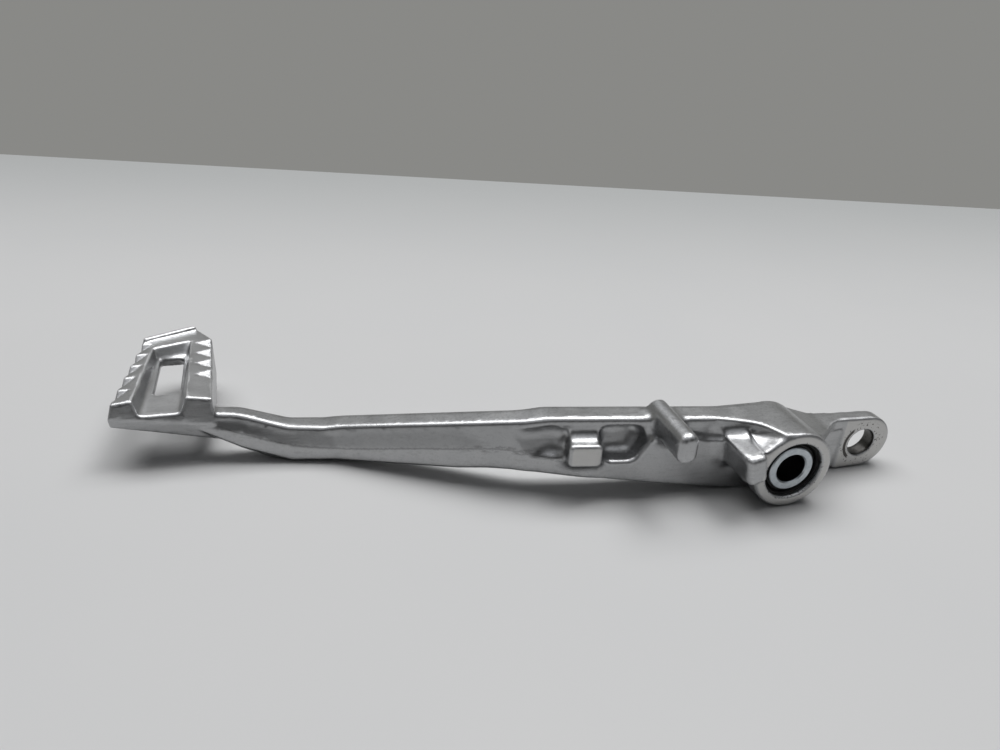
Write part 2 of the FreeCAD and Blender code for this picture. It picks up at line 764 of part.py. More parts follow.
# Pivot boss, with plates that carry the flange and the underside round into the barrel.
barrel = cylinder("barrel", "Sizes.boss_r", "0", "Sizes.boss_out_y", "0", "Sizes.boss_len")
barrel_rim = [i for i, e in enumerate(barrel.Shape.Edges, start=1) if e.Curve.TypeId == "Part::GeomCircle"]
boss = bevelled("boss", barrel, barrel_rim, size("boss_bevel"))
gusset_plan = prism("gusset_plan", outline("gusset_outline", "plan", [
    ("zero", "core_y"),
    ("gusset_x", "gusset_y"),
    ("gusset_mid_x", "gusset_mid_y"),
    ("gusset_top_x", "half_boss_in"),
    ("zero", "half_boss_in"),
], height=size("recess_top_z")), ALONG_Z, size("beyond"), 0)
gusset_soft = rounded("gusset_soft", gusset_plan, edges_along(gusset_plan, ALONG_Z, [
    Vector(size("gusset_mid_x"), size("gusset_mid_y"), 0),
]), size("gusset_radius"))
gusset = common("gusset", [gusset_soft, arm_side_bent])
skirt_plan = prism("skirt_plan", outline("skirt_outline", "plan", [
    ("zero", "core_y"),
    ("skirt_x", "skirt_y"),
    ("gusset_mid_x", "skirt_mid_y"),
    ("skirt_top_x", "half_boss_in"),
    ("zero", "half_boss_in"),
], height=size("skirt_z")), ALONG_Z, 0, size("beyond"))
skirt_soft = rounded("skirt_soft", skirt_plan, edges_along(skirt_plan, ALONG_Z, [
    Vector(size("gusset_mid_x"), size("skirt_mid_y"), 0),
]), size("gusset_radius"))
skirt = common("skirt", [skirt_soft, arm_side_bent])

# Pushrod link: tapers from the barrel to a flat machined eye.
link_side = prism("link_side", outline("link_side_outline", "side", [
    ("eye_lobe_x", "eye_top_z"),
    ("link_blend_x", "link_blend_z"),
    ("link_shoulder_x", "link_shoulder_z"),
    ("link_heel_x", "link_shoulder_z"),
    ("link_heel_x", "foot_z"),
    ("eye_lobe_x", "eye_low_z"),
]), ALONG_Y, size("beyond"), size("beyond"))
link_side_soft = rounded("link_side_soft", link_side, edges_along(link_side, ALONG_Y, [
    Vector(size("link_blend_x"), 0, size("link_blend_z")),
]), size("link_blend_radius"))
link_plan = prism("link_plan", outline("link_plan_outline", "plan", [
    ("link_heel_x", "boss_out_y"),
    ("link_shoulder_x", "boss_out_y"),
    ("link_back_x", "link_out_y"),
    ("eye_lobe_x", "link_out_y"),
    ("eye_lobe_x", "link_face_y"),
    ("link_taper_x", "link_face_y"),
    ("link_wide_x", "link_wide_y"),
    ("link_heel_x", "link_wide_y"),
]), ALONG_Z, size("beyond"), size("beyond"))
link_plan_soft = rounded("link_plan_soft", link_plan, edges_along(link_plan, ALONG_Z, [
    Vector(size("link_taper_x"), size("link_face_y"), 0),
    Vector(size("link_back_x"), size("link_out_y"), 0),
]), size("link_blend_radius"))
link_blank = common("link_blank", [link_side_soft, link_plan_soft])
link_relief = doc.addObject("Part::Box", "link_relief")
follow(link_relief, "Length", "Sizes.link_toe_x - Sizes.link_step_x")
follow(link_relief, "Width", "Sizes.beyond")
follow(link_relief, "Height", "Sizes.beyond")
follow(link_relief, "Placement.Base.x", "Sizes.link_step_x")
follow(link_relief, "Placement.Base.y", "Sizes.link_web_y")
follow(link_relief, "Placement.Base.z", "Sizes.eye_top_z - Sizes.link_flange_thick - Sizes.beyond")
doc.recompute()
link = cut("link", link_blank, link_relief)
eye = cylinder("eye", "Sizes.eye_radius", "Sizes.eye_lobe_x", "Sizes.link_out_y", "Sizes.eye_z",
               "Sizes.link_face_y - Sizes.link_out_y")

# Foot pad: two toothed rails either side of a trough with a window.
pad_plan = prism("pad_plan", outline("pad_plan_outline", "plan", [
    ("pad_front_x", "pad_near_y"),
    ("pad_far_front_x", "pad_far_front_y"),
    ("pad_tip_x", "pad_tip_y"),
    ("pad_far_rear_x", "pad_far_rear_y"),
    ("pad_rear_x", "pad_near_y"),
]), ALONG_Z, size("beyond"), size("beyond"))
pad_plan_soft = rounded("pad_plan_soft", pad_plan, edges_along(pad_plan, ALONG_Z, [
    Vector(size("pad_far_front_x"), size("pad_far_front_y"), 0),
    Vector(size("pad_tip_x"), size("pad_tip_y"), 0),
    Vector(size("pad_far_rear_x"), size("pad_far_rear_y"), 0),
]), size("pad_corner"))
pad_side_outline = outline("pad_side_outline", "side", [
    ("pad_cut_rear_x", "rail_rear_z"),
    ("rail_rear_x", "tread_z"),
    ("rail_front_x", "tread_z"),
    ("pad_cut_front_x", "rail_front_z"),
    ("pad_cut_front_x", "pad_under_front_z"),
    ("pad_cut_rear_x", "pad_under_rear_z"),
])
follow(pad_side_outline, "Placement.Base.y", "Sizes.pad_end_y")
pad_side = prism("pad_side", pad_side_outline, Vector(0, -1, -size("tread_fall")),
                 size("beyond"), size("overlap"))
pad_blank = common("pad_blank", [pad_plan_soft, pad_side])

trough_low = outline("trough_low", "plan", [
    ("trough_rear_x", "trough_open_y"),
    ("trough_front_x", "trough_open_y"),
    ("trough_low_front_x", "trough_low_front_y"),
    ("trough_low_rear_x", "trough_low_rear_y"),
])
follow(trough_low, "Placement.Base.z", "Sizes.trough_z")
trough_top = outline("trough_top", "plan", [
    ("trough_top_rear_x", "trough_open_y"),
    ("trough_top_front_x", "trough_open_y"),
    ("trough_tip_front_x", "trough_top_front_y"),
    ("trough_tip_rear_x", "trough_top_rear_y"),
])
follow(trough_top, "Placement.Base.z", "Sizes.trough_top_z")
trough = doc.addObject("Part::Loft", "trough")
trough.Sections = [trough_low, trough_top]
trough.Solid = True
trough.Ruled = True
doc.recompute()
window_prism = prism("window_prism", outline("window_outline", "plan", [
    ("window_rear_x", "window_near_rear_y"),
    ("window_front_x", "window_near_front_y"),
    ("window_tip_front_x", "window_far_y"),
    ("window_tip_rear_x", "window_far_rear_y"),
]), ALONG_Z, size("beyond"), size("beyond"))
window = rounded("window", window_prism, edges_along(window_prism, ALONG_Z), size("window_corner"))
pocket_outline = outline("pocket_outline", "plan", [
    ("pocket_rear_x", "pocket_near_y"),
    ("pocket_front_x", "pocket_near_y"),
    ("pocket_front_x", "pocket_far_front_y"),
    ("pocket_rear_x", "pocket_far_rear_y"),
])
follow(pocket_outline, "Placement.Base.z", "Sizes.pocket_z")
pocket_prism = prism("pocket_prism", pocket_outline, ALONG_Z, 0, size("beyond"))
pocket = rounded("pocket", pocket_prism, edges_along(pocket_prism, ALONG_Z), size("pad_corner"))
lean_outline = outline("lean_outline", "side", [
    ("pad_front_x", "front_lean_z"),
    ("lean_out_x", "front_lean_z"),
    ("lean_out_x", "lean_top_z"),
    ("lean_top_x", "lean_top_z"),
])
follow(lean_outline, "Placement.Base.y", "Sizes.pad_end_y")
rail_edge_near = size("pad_front_x") - size("front_lean")
rail_edge_far = size("pad_far_front_x") - size("front_lean_far")
front_run = Vector(rail_edge_far - rail_edge_near, size("pad_far_front_y") - size("pad_end_y"), 0)
front_face = prism("front_face", lean_outline, front_run, size("beyond"), size("overlap"))
end_outline = outline("end_outline", "end", [
    ("end_top_y", "end_top_z"),
    ("end_low_y", "end_low_z"),
    ("end_out_y", "end_low_z"),
    ("end_out_y", "end_top_z"),
])
follow(end_outline, "Placement.Base.x", "Sizes.pad_cut_rear_x")
end_face = prism("end_face", end_outline, ALONG_X, size("beyond"), size("overlap"))
chin_outline = outline("chin_outline", "end", [
    ("chin_high_y", "chin_high_z"),
    ("chin_low_y", "chin_low_z"),
    ("end_out_y", "chin_low_z"),
    ("end_out_y", "chin_high_z"),
])
follow(chin_outline, "Placement.Base.x", "Sizes.pad_cut_rear_x")
chin_way = Vector(1, size("chin_run"), size("chin_rise"))
chin_face = prism("chin_face", chin_outline, chin_way, size("beyond"), size("overlap"))


def notch(name, kind, tip, way, slope):
    """V notch that deepens from its tip to the outer edge of a rail."""
    tool = doc.addObject("Part::Wedge", name)
    follow(tool, "Xmin", "-2 * Sizes.%s_half" % kind)
    follow(tool, "Xmax", "2 * Sizes.%s_half" % kind)
    tool.X2min = 0
    tool.X2max = 0
    tool.Ymin = 0
    follow(tool, "Ymax", "2 * Sizes.%s_depth" % kind)
    tool.Zmin = 0
    tool.Z2min = 0
    follow(tool, "Zmax", "Sizes.%s_length + Sizes.notch_over" % kind)
    follow(tool, "Z2max", "Sizes.%s_length + Sizes.notch_over" % kind)
    run = way * math.cos(slope) - ALONG_Z * math.sin(slope)
    down = way * -math.sin(slope) - ALONG_Z * math.cos(slope)
    turn = FreeCAD.Rotation(down.cross(run), down, run, "ZYX")
    tool.Placement = FreeCAD.Placement(tip - down * (2 * size(kind + "_depth")), turn)
    return tool


def rail_notches(kind, count, edge_near, edge_far, far_y, rail_x, rail_edge_x, rail_edge_z, outward):
    """Row of notches along a rail; they lean with the outer end of the pad."""
    bank = abs(size("tread_z") - rail_edge_z) / abs(rail_x - rail_edge_x)
    slope = math.atan(bank) + math.atan(size(kind + "_depth") / size(kind + "_length"))
    way = Vector(outward, outward * size(kind + "_skew"), 0)
    way.normalize()
    tools = []
    for i in range(count):
        y = size(kind + "_y") - size(kind + "_pitch") * i
        share = (y - size("pad_end_y")) / (far_y - size("pad_end_y"))
        x = between(edge_near, edge_far, share) - outward * size(kind + "_length")
        drop = max(0.0, (x - rail_x) * outward) * bank
        z = size("tread_z") - drop - size("tread_fall") * abs(y - size("pad_end_y"))
        tools.append(notch("%s_%d" % (kind, i + 1), kind, Vector(x, y, z), way, slope))
    return tools


rear_notches = rail_notches(
    "rear_notch", 4, size("pad_rear_x"), size("pad_far_rear_x"), size("pad_far_rear_y"),
    size("rail_rear_x"), size("pad_cut_rear_x"), size("rail_rear_z"), -1)
front_notches = rail_notches(
    "front_notch", 5, rail_edge_near, rail_edge_far, size("pad_far_front_y"),
    size("rail_front_x"), size("pad_cut_front_x"), size("rail_front_z"), 1)
doc.recompute()
pad_hollows = [trough, window, pocket, end_face, chin_face, front_face]
pad_openings = fuse("pad_openings", pad_hollows + rear_notches + front_notches)
tread_pad = cut("tread_pad", pad_blank, pad_openings)

# Raised lip along the outer end of the pad.
toe_run = Vector(size("pad_tip_x") - size("pad_far_front_x"), -size("toe_front_slant"), 0)
toe_block = doc.addObject("Part::Box", "toe_block")
toe_turn = FreeCAD.Rotation(ALONG_X, toe_run)
toe_start = Vector(size("pad_far_front_x"), size("pad_far_front_y"), size("toe_low_z"))
toe_inset = toe_turn.multVec(Vector(0, size("toe_lip_thick"), 0))
toe_block.Placement = FreeCAD.Placement(toe_start - toe_inset, toe_turn)
toe_block.Length = toe_run.Length
toe_block.Width = 2 * size("toe_lip_thick")
follow(toe_block, "Height", "Sizes.toe_top_z - Sizes.toe_low_z")
doc.recompute()
toe_lip = common("toe_lip", [toe_block, pad_plan_soft])
pad = fuse("pad", [tread_pad, toe_lip])

# One-piece lever.
lever_blank = fuse("lever_blank", [
    arm_recessed, flank, lip, boss, gusset, skirt, link, eye, first_post, second_post, lug, pad,
])
pivot_bore = cylinder("pivot_bore", "Sizes.sleeve_ro + Sizes.running_gap", "0", "-Sizes.boss_len", "0",
                      "2 * Sizes.boss_len")
seal_seat_in = cylinder("seal_seat_in", "Sizes.seal_ro", "0", "Sizes.seal_back_y", "0", "Sizes.boss_len")
seal_seat_out = cylinder("seal_seat_out", "Sizes.seal_ro", "0", "-Sizes.seal_back_y - Sizes.boss_len", "0",
                         "Sizes.boss_len")
eye_hole = cylinder("eye_hole", "Sizes.eye_bore / 2", "Sizes.eye_x", "Sizes.link_out_y - Sizes.overlap",
                    "Sizes.eye_z", "Sizes.beyond")


def countersink(name, place, turn):
    """Cone that breaks the rim of the eye hole on one face."""
    solid = doc.addObject("Part::Cone", name)
    solid.Placement = FreeCAD.Placement(Vector(), FreeCAD.Rotation(ALONG_X, turn))
    follow(solid, "Radius1", "Sizes.eye_bore / 2 + 2 * Sizes.eye_bevel")
    follow(solid, "Radius2", "Sizes.eye_bore / 2 - Sizes.eye_bevel")
    follow(solid, "Height", "3 * Sizes.eye_bevel")
    follow(solid, "Placement.Base.x", "Sizes.eye_x")
    follow(solid, "Placement.Base.y", place)
    follow(solid, "Placement.Base.z", "Sizes.eye_z")
    doc.recompute()
    return solid


eye_rim_in = countersink("eye_rim_in", "Sizes.link_face_y + Sizes.eye_bevel", 90)
eye_rim_out = countersink("eye_rim_out", "Sizes.link_out_y - Sizes.eye_bevel", -90)
bores = fuse("bores", [pivot_bore, seal_seat_in, seal_seat_out, eye_hole, eye_rim_in, eye_rim_out])
lever = cut("lever", lever_blank, bores)
lever.Label = "pedal_lever"


def ring(name, corners):
    """Turned ring about the pivot axis; corners are radius and place along Y."""
    profile = outline(name + "_profile", "plan", corners)
    solid = doc.addObject("Part::Revolution", name)
    solid.Source = profile
    solid.Axis = ALONG_Y
    solid.Base = Vector()
    solid.Angle = 360
    solid.Solid = True
    solid.Label = name
    return solid


sleeve = ring("pivot_sleeve", [
    ("sleeve_ri", "sleeve_low_in"),
    ("sleeve_ri_bevel", "sleeve_minus_h"),
    ("sleeve_ro_bevel", "sleeve_minus_h"),
    ("sleeve_ro", "sleeve_low_out"),
    ("sleeve_ro", "sleeve_h_out"),
    ("sleeve_ro_bevel", "sleeve_h"),
    ("sleeve_ri_bevel", "sleeve_h"),
    ("sleeve_ri", "sleeve_h_in"),
])
seal_in = ring("inboard_seal", [
    ("seal_ri", "seal_back_y"),
    ("seal_ro", "seal_back_y"),
    ("seal_ro", "seal_face_y"),
    ("seal_rim_r", "seal_face_y"),
    ("seal_mid_r", "seal_dish_y"),
    ("seal_nose_r", "seal_lip_y"),
    ("seal_ri", "seal_lip_y"),
])
seal_out = doc.addObject("Part::Mirroring", "outboard_seal")
seal_out.Source = seal_in
seal_out.Normal = ALONG_Y
seal_out.Base = Vector()
seal_out.Label = "outboard_seal"
doc.recompute()

for obj in doc.Objects:
    if "Invalid" in obj.State or "Error" in obj.State:
        raise RuntimeError("%s did not build" % obj.Name)
for obj in (lever, sleeve, seal_in, seal_out):
    if obj.Shape.isNull() or not obj.Shape.isValid():
        raise RuntimeError("%s has no valid shape" % obj.Label)
    if len(obj.Shape.Solids) != 1:
        raise RuntimeError("%s is not one solid" % obj.Label)
    obj.Shape.exportStep("parts/%s.step" % obj.Label)
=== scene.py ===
import math

import bmesh
import bpy
import numpy as np
import openvdb
from mathutils import Matrix, Vector, kdtree


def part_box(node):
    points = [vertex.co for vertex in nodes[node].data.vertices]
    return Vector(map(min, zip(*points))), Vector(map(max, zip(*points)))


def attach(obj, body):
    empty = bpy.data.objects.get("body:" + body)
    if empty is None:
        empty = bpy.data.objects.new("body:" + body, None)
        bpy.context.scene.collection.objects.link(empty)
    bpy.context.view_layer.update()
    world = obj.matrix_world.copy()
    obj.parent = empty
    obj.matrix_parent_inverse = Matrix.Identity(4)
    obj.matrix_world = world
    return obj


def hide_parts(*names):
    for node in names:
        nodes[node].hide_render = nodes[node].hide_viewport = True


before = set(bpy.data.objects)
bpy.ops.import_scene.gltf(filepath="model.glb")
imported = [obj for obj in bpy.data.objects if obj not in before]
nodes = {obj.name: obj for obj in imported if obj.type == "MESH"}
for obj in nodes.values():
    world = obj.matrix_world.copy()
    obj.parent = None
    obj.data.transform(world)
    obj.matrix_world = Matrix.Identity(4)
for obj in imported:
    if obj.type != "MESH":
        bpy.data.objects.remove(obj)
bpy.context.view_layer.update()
MM = 0.001

# Table and camera, with places in metres and the lens in millimetres
FLOOR_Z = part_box("pedal_lever")[0][2]
TABLE_DEPTH = 0.532
TABLE_SPREAD = 6.0
CAMERA_PLACE = (0.12406, 0.14702, 0.11041)
CAMERA_LENS = 27.04
CAMERA_SENSOR = 36.0
CAMERA_CLIP = 0.005
LOOK_DOWN = math.radians(27.31)
LOOK_ROUND = math.radians(16.68)
CAMERA_ROLL = math.radians(3.15)

# Light of the room
FRONT_TONE = (0.05, 0.05, 0.05, 1.0)
BACK_WALL_TONE = (0.25, 0.25, 0.24, 1.0)
CEILING_TONE = (0.66, 0.67, 0.69, 1.0)
FRONT_END = 0.30
BACK_WALL_START = 0.75
CEILING_START = (0.35, 0.9)
ROOM_STRENGTH = 0.22
SEEN_STRENGTH = 1.0

# Sockets of the mix node: the first of its two entries, and the result
COLOUR_ENTRY = 6
COLOUR_RESULT = 2
NUMBER_ENTRY = 2
NUMBER_RESULT = 0


# Helpers for node trees
class Web:
    """Small helper for one material's or world's node tree."""

    def __init__(self, tree):
        self.tree = tree
        tree.nodes.clear()

    def add(self, kind, **settings):
        made = self.tree.nodes.new(kind)
        for name, entry in settings.items():
            setattr(made, name, entry)
        return made

    def feed(self, socket, entry):
        if isinstance(entry, bpy.types.NodeSocket):
            self.tree.links.new(entry, socket)
        else:
            socket.default_value = entry

    def math(self, operation, first, second=0.0, third=0.0):
        made = self.add("ShaderNodeMath", operation=operation)
        for socket, entry in zip(made.inputs, (first, second, third)):
            self.feed(socket, entry)
        return made.outputs[0]

    def product(self, first, *others):
        for other in others:
            first = self.math("MULTIPLY", first, other)
        return first

    def largest(self, first, *others):
        for other in others:
            first = self.math("MAXIMUM", first, other)
        return first

    def mix(self, share, first, second):
        """From the first colour to the second one, by the share."""
        made = self.add("ShaderNodeMix", data_type="RGBA")
        self.feed(made.inputs[0], share)
        self.feed(made.inputs[COLOUR_ENTRY], first)
        self.feed(made.inputs[COLOUR_ENTRY + 1], second)
        return made.outputs[COLOUR_RESULT]

    def blend(self, share, first, second):
        """From the first number to the second one, by the share."""
        made = self.add("ShaderNodeMix", data_type="FLOAT")
        self.feed(made.inputs[0], share)
        self.feed(made.inputs[NUMBER_ENTRY], first)
        self.feed(made.inputs[NUMBER_ENTRY + 1], second)
        return made.outputs[NUMBER_RESULT]

    def step(self, entry, low, high):
        """0 up to low, 1 from high on, and smooth between them. It falls where high is less than low."""
        made = self.add("ShaderNodeMapRange", interpolation_type="SMOOTHSTEP", clamp=True)
        self.feed(made.inputs["Value"], entry)
        made.inputs["From Min"].default_value = low
        made.inputs["From Max"].default_value = high
        return made.outputs["Result"]

    def place(self, scale=(1.0, 1.0, 1.0)):
        """Object position in millimetres, stretched by scale."""
        spot = self.add("ShaderNodeTexCoord").outputs["Object"]
        mapped = self.add("ShaderNodeMapping")
        self.feed(mapped.inputs["Vector"], spot)
        mapped.inputs["Scale"].default_value = tuple(s / MM for s in scale)
        return mapped.outputs["Vector"]

    def noise(self, where, scale, detail, rough):
        made = self.add("ShaderNodeTexNoise")
        self.feed(made.inputs["Vector"], where)
        made.inputs["Scale"].default_value = scale
        made.inputs["Detail"].default_value = detail
        made.inputs["Roughness"].default_value = rough
        return made.outputs["Fac"]

    def split(self, vector):
        made = self.add("ShaderNodeSeparateXYZ")
        self.feed(made.inputs[0], vector)
        return tuple(made.outputs)

    def length(self, first, second):
        squares = self.math("MULTIPLY_ADD", first, first, self.math("MULTIPLY", second, second))
        return self.math("SQRT", squares)

    def within(self, entry, limit, soft, both=False):
        """1 inside the limit, or inside it on both sides of 0, and 0 beyond its soft rim."""
        if both:
            entry = self.math("ABSOLUTE", entry)
        return self.step(entry, limit + soft, limit)

    def curve(self, entry, spots):
        """A smooth line through the spots, read at entry."""
        (left, _), (right, _) = spots[0], spots[-1]
        low = min(rise for _, rise in spots)
        high = max(rise for _, rise in spots)
        made = self.add("ShaderNodeFloatCurve")
        line = made.mapping.curves[0].points
        for place, rise in spots[1:-1]:
            line.new((place - left) / (right - left), (rise - low) / (high - low))
        line[0].location = (0.0, (spots[0][1] - low) / (high - low))
        line[-1].location = (1.0, (spots[-1][1] - low) / (high - low))
        made.mapping.update()
        share = self.math("DIVIDE", self.math("SUBTRACT", entry, left), right - left)
        self.feed(made.inputs["Value"], share)
        return self.math("MULTIPLY_ADD", made.outputs[0], high - low, low)

    def bump(self, height, depth_mm, strength):
        made = self.add("ShaderNodeBump")
        made.inputs["Strength"].default_value = strength
        made.inputs["Distance"].default_value = depth_mm * MM
        self.feed(made.inputs["Height"], height)
        return made.outputs["Normal"]


def new_material(name):
    material = bpy.data.materials.new(name)
    material.use_nodes = True
    web = Web(material.node_tree)
    shader = web.add("ShaderNodeBsdfPrincipled")
    out = web.add("ShaderNodeOutputMaterial")
    web.feed(out.inputs["Surface"], shader.outputs["BSDF"])
    return material, web, shader


def give(piece, material):
    piece.data.materials.clear()
    piece.data.materials.append(material)


# The lever as forged, with corners filled and edges rounded. Sizes and places are in millimetres
VOXEL = 0.25
SPARE_VOXELS = 3.0
SPARE_DEPTH = 1.0
FILLET = 1.1
FACE_FILLET = 2.8
WIDE_FILLET = 4.0
EDGE = 0.34
TIP_EDGE = 1.5
PAD_FILLET = 0.4
PAD_EDGE = 0.2
BORE_PLAY = 0.03
BORE_RIM = 0.6
FLATNESS = 0.02
NORMAL_ROUNDS = 3
TINY = 1e-12
WELD = 1e-7
GRID = openvdb.createLinearTransform(voxelSize=VOXEL)

# Boxes that are shaped again, and where the lever is cut to shape them
INBOARD_BOX = ((-14.0, -16.0, -13.5), (78.0, 14.0, 16.0))
INBOARD_CUT = 84.0
PAD_BOX = ((144.0, -94.0, -9.0), (176.0, -38.0, 11.0))
PAD_CUT = 138.0

# Zones in the boxes. On an axis a zone starts at the first number and is full from the second one,
# and where there are four it is full up to the third and ends at the last
FACE_ZONE = {"x": (9.0, 13.0, 70.0, 76.0), "y": (-15.0, -11.0)}
SCOOP_ZONE = {"x": (-9.0, -5.0, 12.0, 15.5), "y": (-3.0, 0.5, 9.0, 9.6), "z": (2.0, 4.5)}
SCOOP_SHARE = 0.45
VALLEY_ZONE = {"x": (15.5, 18.0, 28.5, 32.0), "y": (-15.0, -11.0), "z": (-3.0, 0.0)}
HOLLOW_ZONE = {"x": (57.5, 60.0, 73.0, 77.0), "y": (-15.0, -12.5)}
FRONT_TIP_ZONE = {"x": (24.0, 26.0, 40.0, 42.0), "y": (5.0, 7.0)}
BOSS_TIP_ZONE = {"x": (7.0, 8.0, 20.0, 22.0), "y": (9.5, 10.3)}
TREAD_ZONE = {"x": (147.0, 149.0), "z": (-4.0, -2.0)}
TROUGH_ZONE = {"x": (155.5, 157.5, 166.5, 168.0), "z": (7.5, 6.5)}


def mesh_arrays(mesh):
    """Vertices in millimetres and triangles of a mesh."""
    points = np.empty(len(mesh.vertices) * 3, np.float32)
    mesh.vertices.foreach_get("co", points)
    mesh.calc_loop_triangles()
    faces = np.empty(len(mesh.loop_triangles) * 3, np.int32)
    mesh.loop_triangles.foreach_get("vertices", faces)
    return points.reshape(-1, 3) / MM, faces.reshape(-1, 3)


def cut_off(mesh, limit, ahead):
    """The mesh on one side of x = limit, closed where it is cut."""
    cut = bmesh.new()
    cut.from_mesh(mesh)
    bmesh.ops.remove_doubles(cut, verts=cut.verts, dist=WELD)
    sides = cut.verts[:] + cut.edges[:] + cut.faces[:]
    made = bmesh.ops.bisect_plane(cut, geom=sides, plane_co=(limit * MM, 0.0, 0.0),
                                  plane_no=(-1.0 if ahead else 1.0, 0.0, 0.0), clear_outer=True)
    rim = [e for e in made["geom_cut"] if isinstance(e, bmesh.types.BMEdge)]
    bmesh.ops.contextual_create(cut, geom=rim)
    shorter = bpy.data.meshes.new("cut_off")
    cut.to_mesh(shorter)
    cut.free()
    arrays = mesh_arrays(shorter)
    bpy.data.meshes.remove(shorter)
    return arrays


def level_set(points, faces, reach):
    kind = "quads" if faces.shape[1] == 4 else "triangles"
    faces = {kind: np.ascontiguousarray(faces, np.uint32)}
    points = np.ascontiguousarray(points, np.float32)
    width = reach / VOXEL + SPARE_VOXELS
    return openvdb.FloatGrid.createLevelSetFromPolygons(points, transform=GRID, halfWidth=width, **faces)


def rounded(points, faces, fillet, edge):
    """Level set with filled corners and rounded edges. Its surface lies at the value edge."""
    grown = level_set(points, faces, fillet).convertToQuads(isovalue=fillet)
    core = level_set(*grown, fillet + edge).convertToQuads(isovalue=-fillet - edge)
    return level_set(*core, edge + SPARE_DEPTH)


def smooth(entry, low, high):
    share = np.clip((entry - low) / (high - low), 0.0, 1.0)
    return share * share * (3.0 - 2.0 * share)


class Block:
    """A box of a level set: the places of its voxels, and how far they lie outside the surface."""

    def __init__(self, grid, low, high):
        low = np.array(low)
        self.start = tuple(int(v) for v in np.round(low / VOXEL))
        self.count = np.round((np.array(high) - low) / VOXEL).astype(int) + 1
        x, y, z = (low[i] + VOXEL * np.arange(self.count[i]) for i in range(3))
        self.x = x[:, None, None]
        self.y = y[None, :, None]
        self.z = z[None, None, :]
        self.values = self.read(grid, EDGE)

    def read(self, grid, edge):
        values = np.zeros(self.count, np.float32)
        grid.copyToArray(values, ijk=self.start)
        return values - edge

    def share(self, zone):
        """1 in the zone and 0 outside it."""
        share = 1.0
        for axis, limits in zone.items():
            places = getattr(self, axis)
            share = share * smooth(places, limits[0], limits[1])
            if len(limits) == 4:
                share = share * smooth(places, limits[3], limits[2])
        return share

    def blend(self, share, solid, fillet, edge):
        """Moves the values, by the share, to those of the solid with another fillet and edge."""
        other = self.read(rounded(*solid, fillet, edge), edge)
        self.values += share * (other - self.values)

    def write(self, grid):
        grid.copyFromArray((self.values + EDGE).astype(np.float32), ijk=self.start)


def shape_inboard(grid, solid):
    """Wider blends on the inboard face, rounded post tips, and bores with their own edges."""
    box = Block(grid, *INBOARD_BOX)
    box.blend(box.share(FACE_ZONE), solid, FACE_FILLET, EDGE)
    wide = np.maximum(SCOOP_SHARE * box.share(SCOOP_ZONE), box.share(VALLEY_ZONE))
    box.blend(np.maximum(wide, box.share(HOLLOW_ZONE)), solid, WIDE_FILLET, EDGE)
    tips = np.maximum(box.share(FRONT_TIP_ZONE), box.share(BOSS_TIP_ZONE))
    box.blend(tips, solid, FILLET, TIP_EDGE)
    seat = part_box("inboard_seal")
    seat_radius = seat[1][0] / MM
    seat_back = seat[0][1] / MM
    bore_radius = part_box("pivot_sleeve")[1][0] / MM + BORE_PLAY
    radius = np.sqrt(box.x * box.x + box.z * box.z)
    seats = np.maximum(radius - seat_radius, seat_back - np.abs(box.y))
    bored = np.maximum(box.values, -np.minimum(radius - bore_radius, seats))
    box.values = np.where(radius < seat_radius + BORE_RIM, bored, box.values)
    box.write(grid)


def shape_pad(grid, solid):
    """Crisper edges on the pad's tread."""
    box = Block(grid, *PAD_BOX)
    tread = box.share(TREAD_ZONE) * (1.0 - box.share(TROUGH_ZONE))
    box.blend(tread, solid, PAD_FILLET, PAD_EDGE)
    box.write(grid)


def over_faces(quads, entries, count):
    """Sum of the faces' entries at each vertex."""
    corners = quads.ravel()
    sums = [np.bincount(corners, np.repeat(entries[:, i], 4), count) for i in range(3)]
    return np.stack(sums, 1)


def surface_detail(points, quads):
    """Smooth unit normals, and how far each vertex stands out from its neighbours."""
    a, b, c, d = (points[quads[:, i]] for i in range(4))
    faces = np.cross(d - b, c - a)
    for _ in range(NORMAL_ROUNDS):
        normals = over_faces(quads, faces, len(points))
        normals /= np.maximum(np.linalg.norm(normals, axis=1, keepdims=True), TINY)
        faces = normals[quads].mean(axis=1)
    around = over_faces(quads, points[quads].mean(axis=1), len(points))
    around /= np.maximum(np.bincount(quads.ravel(), minlength=len(points)), 1)[:, None]
    return normals, ((points - around) * normals).sum(axis=1)


def smooth_mesh(name, points, triangles, quads):
    """Mesh of faces from a level set, which come with their corners the other way round."""
    corners = np.concatenate([triangles[:, ::-1].ravel(), quads[:, ::-1].ravel()])
    starts = np.concatenate([np.arange(len(triangles)) * 3, triangles.size + np.arange(len(quads)) * 4])
    mesh = bpy.data.meshes.new(name)
    mesh.vertices.add(len(points))
    mesh.vertices.foreach_set("co", (points * MM).astype(np.float32).ravel())
    mesh.loops.add(len(corners))
    mesh.loops.foreach_set("vertex_index", corners.astype(np.int32))
    mesh.polygons.add(len(starts))
    mesh.polygons.foreach_set("loop_start", starts.astype(np.int32))
    mesh.update(calc_edges=True)
    mesh.polygons.foreach_set("use_smooth", np.ones(len(mesh.polygons), bool))
    return mesh


